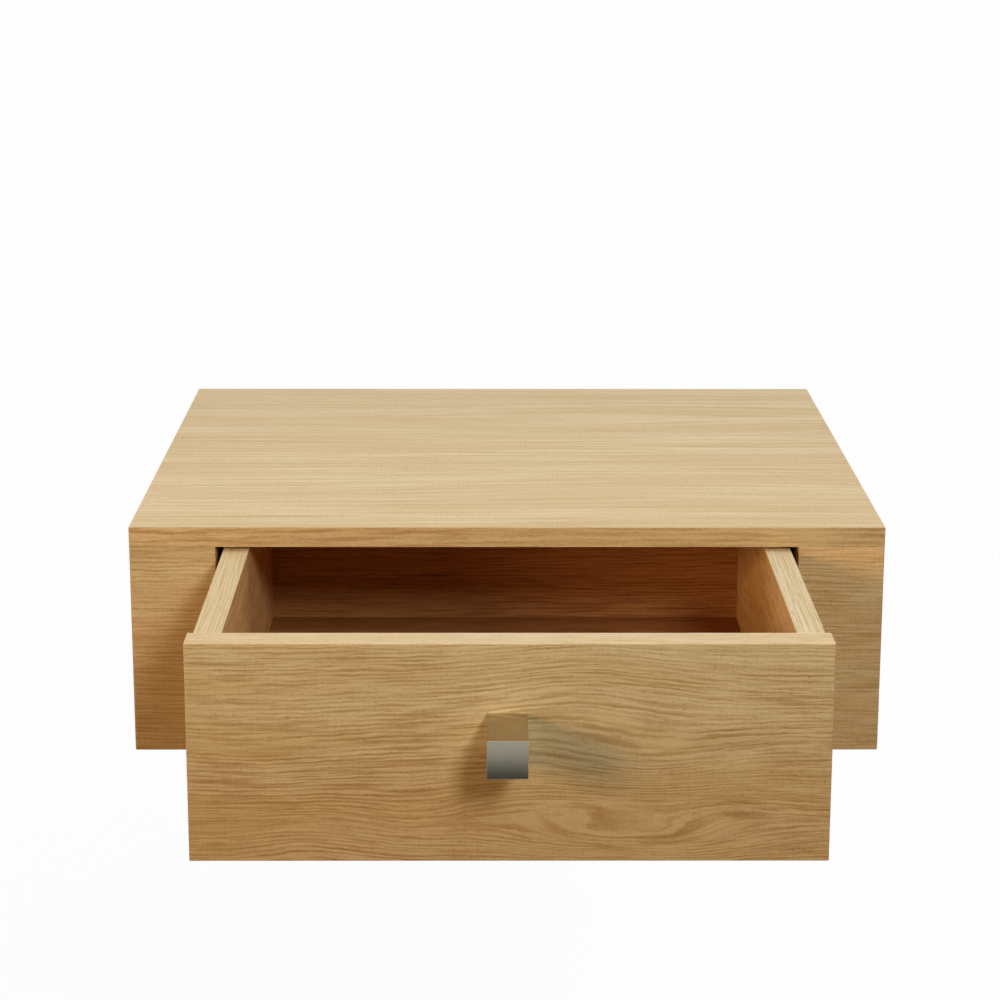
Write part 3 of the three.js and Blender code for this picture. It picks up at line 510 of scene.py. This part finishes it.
# Dowels: beech pins, turned on a lathe and glued into blind holes in the boards that they join.
# Beech is an even pink-brown with short dark flecks, and turning leaves it dull.
turned_beech, tree = empty_material("turned_beech")
spot = put(tree, "ShaderNodeTexCoord", out="Object")
fleck = grains(tree, spot, (1.11, 1.11, 1.11))
colour = put(tree, "ShaderNodeMix", {
    0: fleck, 6: linear("#DDB88F"), 7: linear("#B98A5C"),
}, out=2, data_type="RGBA")
surface = put(tree, "ShaderNodeBsdfPrincipled", {
    "Base Color": colour,
    "Roughness": put(tree, "ShaderNodeMapRange", (fleck, 0.0, 1.0, 0.5, 0.7)),
    "Normal": put(tree, "ShaderNodeBump", {"Strength": 0.3, "Distance": 0.05 * mm, "Height": fleck}),
})
put(tree, "ShaderNodeOutputMaterial", {"Surface": surface}, out=all_outputs)
for name in nodes:
    if "_dowel_" in name:
        finish_node(name, turned_beech)


# Drawer: an inset oak front with a bold wavy figure, on a box of oak boards that are doweled
# at the corners and hold a thin bottom in grooves. The top faces of the front and sides are
# painted paler, as painted light from above, with a figure of their own. The box's boards are
# painted redder, and its back and bottom darker, as painted warm shade.
front_tones = ("#CFC3A0", "#C5B48B", "#A28456", "#846637")
# Painted shade: the box's sides, back and bottom are redder and darker than the front, and the two sides
# differ.
drawer_side_tones_with_painted_shade = {
    "left": ("#F1C58F", "#E4B47B", "#B9854A", "#976232"),
    "right": ("#E7BE85", "#DBAE72", "#B18044", "#915F2E"),
}
back_tones_with_painted_shade = ("#CD925C", "#BF824C", "#8E5B2F", "#693F1C")
floor_tones_with_painted_shade = ("#B57E4E", "#A97242", "#7A4B22", "#5D3416")
side_top_tones_with_painted_light = ("#E8DCBC", "#DECBA1", "#C8A973", "#AA8D58")
# Painted shade: the drawer front and back darken towards their foot.
front_foot = "#ECDCCB"
back_foot = "#E2E0E0"
back_heights = (-24 * mm, 24 * mm)
drawer_front_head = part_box("drawer_front")[1][2]
drawer_side_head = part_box("drawer_side_left")[1][2]

# The front has waves above and right of the knob and at the left, and two fans low on the right.
front_bumps = (
    (45, 52, 60, 38, 10, 0), (80, -2, 55, 34, -12, 0), (40, -30, 56, 18, 0, 1.2),
    (112, -32, 50, 20, 0, 0.85), (-120, -42, 40, 20, 5, 0), (-60, -30, 30, 22, -4, 0),
    (-150, 10, 60, 30, -4, 0),
)
back_bumps = ((-240, 40, 70, 40, 7, 0), (-380, 20, 60, 30, -6, 0))
oak_board("drawer_front", stands_across, front_tones, seed=4.0, bumps=front_bumps,
          foot=front_foot, heights=case_heights,
          strip_with_painted_light=((0, 0, 1), drawer_front_head - strip_depth, upward_tones_with_painted_light, 2.0, 1.0))
for side, upright, seed in (("left", stands_left, 5.0), ("right", stands_right, 6.0)):
    oak_board(f"drawer_side_{side}", upright, drawer_side_tones_with_painted_shade[side], seed=seed,
              strip_with_painted_light=((0, 0, 1), drawer_side_head - strip_depth, side_top_tones_with_painted_light, 0.9, 9.0))
oak_board("drawer_back", stands_across, back_tones_with_painted_shade, place=(0.3, 0, 0), seed=7.0, bumps=back_bumps,
          foot=back_foot, heights=back_heights)
oak_board("drawer_bottom", lies_flat, floor_tones_with_painted_shade, place=(0.3, 0, 0), seed=8.0)


# Knob: a length of square brass bar, brushed along its length and satin nickel plated. The
# brushing leaves fine straight lines, and the plate is a soft and slightly warm mirror. A
# machine screw holds it from inside the drawer front.
def metal(name, light, dark, smoothest, roughest, scratch):
    """Metal with faint clouds in its colour and fine scratches, whose sizes are in mm. Real
    ones are too fine to show, so they are drawn coarser."""
    material, tree = empty_material(name)
    spot = put(tree, "ShaderNodeTexCoord", out="Object")
    lines = grains(tree, spot, scratch)
    colour = put(tree, "ShaderNodeMix", {
        0: grains(tree, spot, (11.1, 11.1, 11.1)), 6: linear(light), 7: linear(dark),
    }, out=2, data_type="RGBA")
    surface = put(tree, "ShaderNodeBsdfPrincipled", {
        "Base Color": colour, "Metallic": 1.0,
        "Roughness": put(tree, "ShaderNodeMapRange", (lines, 0.3, 0.7, smoothest, roughest)),
        "Normal": put(tree, "ShaderNodeBump", {"Strength": 0.2, "Distance": 0.01 * mm, "Height": lines}),
    })
    put(tree, "ShaderNodeOutputMaterial", {"Surface": surface}, out=all_outputs)
    return material


def ringed_solid(rings):
    """A closed solid through rings of points, [ring, point, xyz]: four-cornered faces between
    neighbouring rings, and one face over the first ring and one over the last."""
    here = np.arange(rings.shape[0] * rings.shape[1]).reshape(rings.shape[:2])
    onward = np.roll(here, -1, axis=1)
    quads = np.stack([here[:-1], onward[:-1], onward[1:], here[1:]], -1).reshape(-1, 4)
    return rings.reshape(-1, 3), quads.tolist() + [here[0, ::-1].tolist(), here[-1].tolist()]


sharp_turn = math.radians(40)


def solid_piece(name, solids, material, body):
    """Makes one piece from solids in the table's own frame, fixes it to its body and rounds
    the shading of its bends, but not of sharp turns."""
    points = np.concatenate([solid[0] for solid in solids])
    starts = np.cumsum([0] + [len(solid[0]) for solid in solids])
    faces = [[start + i for i in face] for start, solid in zip(starts, solids) for face in solid[1]]
    mesh = bpy.data.meshes.new(name)
    mesh.from_pydata(points.tolist(), [], faces)
    mesh.polygons.foreach_set("use_smooth", [True] * len(mesh.polygons))
    mesh.set_sharp_from_angle(angle=sharp_turn)
    mesh.materials.append(material)
    piece = bpy.data.objects.new(name, mesh)
    bpy.context.scene.collection.objects.link(piece)
    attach(piece, body)
    return piece


knob_edge = 0.12 * mm
knob_crown = 0.35 * mm
knob_back_step = 1 * mm
knob_front_step = 2 * mm
least_radius = 0.01 * mm
arc_points = 9
knob_side_shares = (0.02, 0.12, 0.25, 0.38, 0.5, 0.62, 0.75, 0.88, 0.98)
knob_front_shares = (0.97, 0.9, 0.8, 0.7, 0.6, 0.5, 0.4, 0.3, 0.2, 0.1, 0.02)


def square_bar(low, high, edge, crown):
    """A square bar along Y with rounded edges and a slightly crowned front face. A ring is a
    square with corner arcs of radius edge - inset. Round the front edge, inset = edge * (1 -
    sin t) and setback = edge * (1 - cos t); the face is rings shrunk towards the middle, and
    all of the front is set back by crown * (z / half height)^2 more."""
    middle, half = (low + high) / 2, (high - low) / 2
    turns = np.arange(4)[:, None] * math.pi / 2 + np.linspace(0, math.pi / 2, arc_points)
    arcs = np.stack([np.cos(turns), np.sin(turns)], -1)
    signs = np.array([(1, 1), (-1, 1), (-1, -1), (1, -1)])[:, None]
    side_shares = np.array(knob_side_shares)[:, None]

    def ring(inset, setback, share=1.0, crowned=crown):
        radius = max(edge - inset, least_radius)
        arc = signs * (half[[0, 2]] - inset - radius) + radius * arcs
        following = np.roll(arc, -1, axis=0)[:, :1]
        side = arc[:, -1:] + (following - arc[:, -1:]) * side_shares
        x, z = share * np.concatenate([arc, side], 1).reshape(-1, 2).T
        y = low[1] + setback + crowned * (z / half[2]) ** 2
        return np.stack([x + middle[0], y, z + middle[2]], -1)

    length = high[1] - low[1]
    straight = (length, length - knob_back_step, knob_front_step)
    rings = [ring(0.0, setback, crowned=0.0) for setback in straight]
    for t in np.linspace(math.pi / 2, 0, arc_points):
        rings.append(ring(edge * (1 - math.sin(t)), edge * (1 - math.cos(t))))
    rings += [ring(edge, 0.0, share) for share in knob_front_shares]
    return ringed_solid(np.array(rings))


satin_nickel = metal("satin_nickel_plate", "#C0B8A5", "#B6AE9A", 0.17, 0.24, (0.143, 6.67, 0.143))
knob_low, knob_high = (np.array(corner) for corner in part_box("knob"))
knob_bar = square_bar(knob_low, knob_high, knob_edge, knob_crown)
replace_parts(solid_piece("square_knob", [knob_bar], satin_nickel, "drawer"), "knob")
screw_zinc = metal("zinc_plated_screw", "#94979A", "#7C7F82", 0.3, 0.42, (2, 2, 2))
finish_node("knob_screw", screw_zinc)


# Runners: brackets and rails rolled from steel strip and zinc plated. Rolling leaves faint long
# marks along the rails, and the plate is a pale bluish grey with a dull shine.
zinc = metal("zinc_plated_steel", "#B6BABE", "#A2A8AE", 0.3, 0.45, (1.11, 16.7, 1.11))
for side in ("left", "right"):
    for piece in ("runner_bracket", "cabinet_rail", "middle_rail", "drawer_rail"):
        finish_node(f"{piece}_{side}", zinc)


# Ball cages: each is a channel of thin pressed steel that holds two rows of bearing balls, one
# row in each wall, and rolls between two rails. The balls are ground and polished, so their
# steel is the brightest here.
bearing = metal("bearing_steel", "#C8C9CB", "#B6B8BB", 0.18, 0.28, (2, 2, 2))
ball_radius = 2.0 * mm
cage_sheet = 0.7 * mm
cage_bend = 1.1 * mm
cage_rise = 1.2 * mm
bend_points = 7
balls_in_row = 12
ball_rings = 13
ball_ring_points = 20
pole_gap = 1e-3


def cage_channel(low, high, upwards):
    """A sheet channel along Y: a half section of wall, quarter bend and floor, its inner line
    the outer one drawn in by the sheet, mirrored and carried from end to end."""
    wall = (high[0] - low[0]) / 2 - (ball_radius - cage_sheet / 2)
    rise = high[2] - low[2] - ball_radius + cage_rise
    bend = np.linspace(0, -math.pi / 2, bend_points)

    def line(inset):
        radius = cage_bend - inset
        x = wall - cage_bend + radius * np.cos(bend)
        z = cage_bend + radius * np.sin(bend)
        return np.concatenate([[(wall - inset, rise)], np.stack([x, z], -1)])

    outer, inner = line(0.0), line(cage_sheet)
    mirrored = np.array([-1, 1])
    section = np.concatenate([outer, outer[::-1] * mirrored, inner * mirrored, inner[::-1]])
    x = (low[0] + high[0]) / 2 + section[:, 0]
    z = low[2] + section[:, 1] if upwards else high[2] - section[:, 1]
    ends = (low[1], high[1]) if upwards else (high[1], low[1])
    return ringed_solid(np.stack([np.stack([x, np.full_like(x, y), z], -1) for y in ends]))


def ball(middle, radius):
    """A sphere: rings of radius * sin(polar) at heights of radius * cos(polar). The first and
    last rings keep off the poles by a small angle, so that their points stay apart."""
    polar = np.linspace(math.pi, 0, ball_rings)[:, None]
    polar[0] -= pole_gap
    polar[-1] += pole_gap
    turn = np.linspace(0, math.tau, ball_ring_points, endpoint=False)[None]
    return ringed_solid(np.stack([
        middle[0] + radius * np.sin(polar) * np.cos(turn),
        middle[1] + radius * np.sin(polar) * np.sin(turn),
        middle[2] + radius * np.cos(polar) * np.ones_like(turn),
    ], -1))


for side in ("left", "right"):
    for level in ("lower", "upper"):
        node = f"{level}_ball_cage_{side}"
        low, high = (np.array(corner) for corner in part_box(node))
        pitch = (high[1] - low[1]) / balls_in_row
        ball_z = high[2] - ball_radius if level == "lower" else low[2] + ball_radius
        solids = [cage_channel(low, high, level == "lower")]
        solids += [
            ball((x, low[1] + pitch * (i + 0.5), ball_z), ball_radius)
            for x in (low[0] + ball_radius, high[0] - ball_radius) for i in range(balls_in_row)
        ]
        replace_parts(solid_piece(f"{level}_ball_row_{side}", solids, bearing, node), node)


# Screws: low pan heads with a cross recess, cold-formed in steel and zinc plated, a darker grey
# than the rails. They hold the brackets to the inner sides and the clips to the drawer bottom,
# and flatter ones hold the case cleat to the back.
screw_head_radius = 3.6 * mm
screw_head_height = 1.5 * mm
screw_shank_radius = 1.9 * mm
dome_drop_share = 0.45
cross_arm_length = 1.9 * mm
cross_arm_half_width = 0.45 * mm
recess_depth_share = 0.6
recess_dip_share = 0.2
recess_floor_shares = (0.94, 0.25)
screw_ring_points = 64
dome_rings = 6


def pan_head(seat, outwards, shank, height=screw_head_height):
    """A screw head on its seat. The rings are circles up the shank and over a dome, whose
    height is h * (1 - 0.45 * (r / R)^4), and then cross outlines, r = min(arm, half width /
    |sin(turn from the nearest arm)|), that go down as the walls of the recess, 0.6 * h deep,
    and over its floor, which dips by 0.2 * h more."""
    turn = np.linspace(0, math.tau, screw_ring_points, endpoint=False)
    from_arm = np.abs((turn + math.pi / 4) % (math.pi / 2) - math.pi / 4)
    cross = np.minimum(cross_arm_length, cross_arm_half_width / np.maximum(np.sin(from_arm), 1e-6))

    def dome(r):
        return height * (1 - dome_drop_share * (r / screw_head_radius) ** 4)

    circle = np.ones_like(turn)
    over = screw_head_radius + (cross - screw_head_radius) * np.linspace(0, 1, dome_rings)[:, None]
    floor = dome(cross_arm_length) - recess_depth_share * height
    radii = np.concatenate([
        [screw_shank_radius * circle, screw_shank_radius * circle, screw_head_radius * circle],
        over,
        [share * cross for share in recess_floor_shares],
    ])
    heights = np.concatenate([
        [-shank * circle, 0 * circle, 0 * circle],
        dome(over),
        [floor * circle, (floor - recess_dip_share * height) * circle],
    ])
    axis = np.array(outwards, float)
    first = np.array([axis[1], axis[2], axis[0]])
    second = np.cross(axis, first)
    flat = radii[..., None] * (np.cos(turn)[:, None] * first + np.sin(turn)[:, None] * second)
    return ringed_solid(np.array(seat) + flat + heights[..., None] * axis)


bracket_sheet = 1.2 * mm
bracket_screw_shares = (0.09, 0.36, 0.64, 0.91)
bracket_screw_drop = 9 * mm
clip_screw_places = (9 * mm, 44 * mm)
cleat_screw_shares = (-0.86, -0.29, 0.29, 0.86)
cleat_screw_rise = 4 * mm
cleat_head_height = 0.8 * mm
hidden_shank = 0.5 * mm
for side, sign in (("left", -1), ("right", 1)):
    low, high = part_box(f"runner_bracket_{side}")
    flange_x = (low if sign < 0 else high)[0] - sign * bracket_sheet
    screw_z = high[2] - bracket_screw_drop
    solid_piece(f"bracket_screws_{side}", [
        pan_head((flange_x, low[1] + share * (high[1] - low[1]), screw_z), (-sign, 0, 0), bracket_sheet)
        for share in bracket_screw_shares
    ], screw_zinc, "case")
    low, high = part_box(f"locking_clip_{side}")
    solid_piece(f"clip_screws_{side}", [
        pan_head(((low[0] + high[0]) / 2, low[1] + place, low[2]), (0, 0, -1), hidden_shank)
        for place in clip_screw_places
    ], screw_zinc, "drawer")
low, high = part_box("case_cleat")
screw_z = (low[2] + high[2]) / 2 + cleat_screw_rise
solid_piece("case_cleat_screws", [
    pan_head((share * high[0], high[1], screw_z), (0, 1, 0), hidden_shank, cleat_head_height)
    for share in cleat_screw_shares
], screw_zinc, "case")


# Clips: moulded acetal housings under the front corners, with levers that are squeezed by hand
# to free the drawer from its rails. Their moulds were spark-eroded, which leaves a fine grit
# and an even dull sheen.
def moulded_acetal(name, light, dark):
    """Acetal with faint clouds in its colour and a matt grit, drawn at 0.3 mm because the real
    one is too fine to show."""
    material, tree = empty_material(name)
    spot = put(tree, "ShaderNodeTexCoord", out="Object")
    grit = grains(tree, spot, (0.3, 0.3, 0.3), detail=1.0)
    colour = put(tree, "ShaderNodeMix", {
        0: grains(tree, spot, (16.7, 16.7, 16.7)), 6: linear(light), 7: linear(dark),
    }, out=2, data_type="RGBA")
    surface = put(tree, "ShaderNodeBsdfPrincipled", {
        "Base Color": colour,
        "Roughness": put(tree, "ShaderNodeMapRange", (grit, 0.3, 0.7, 0.42, 0.58)),
        "Normal": put(tree, "ShaderNodeBump", {"Strength": 0.3, "Distance": 0.02 * mm, "Height": grit}),
    })
    put(tree, "ShaderNodeOutputMaterial", {"Surface": surface}, out=all_outputs)
    return material


grey = moulded_acetal("moulded_acetal_grey", "#777B7E", "#6A6E71")
orange = moulded_acetal("moulded_acetal_orange", "#CF6F30", "#BE6228")
for side in ("left", "right"):
    finish_node(f"locking_clip_{side}", grey)
    finish_node(f"release_lever_{side}", orange)

low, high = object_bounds()
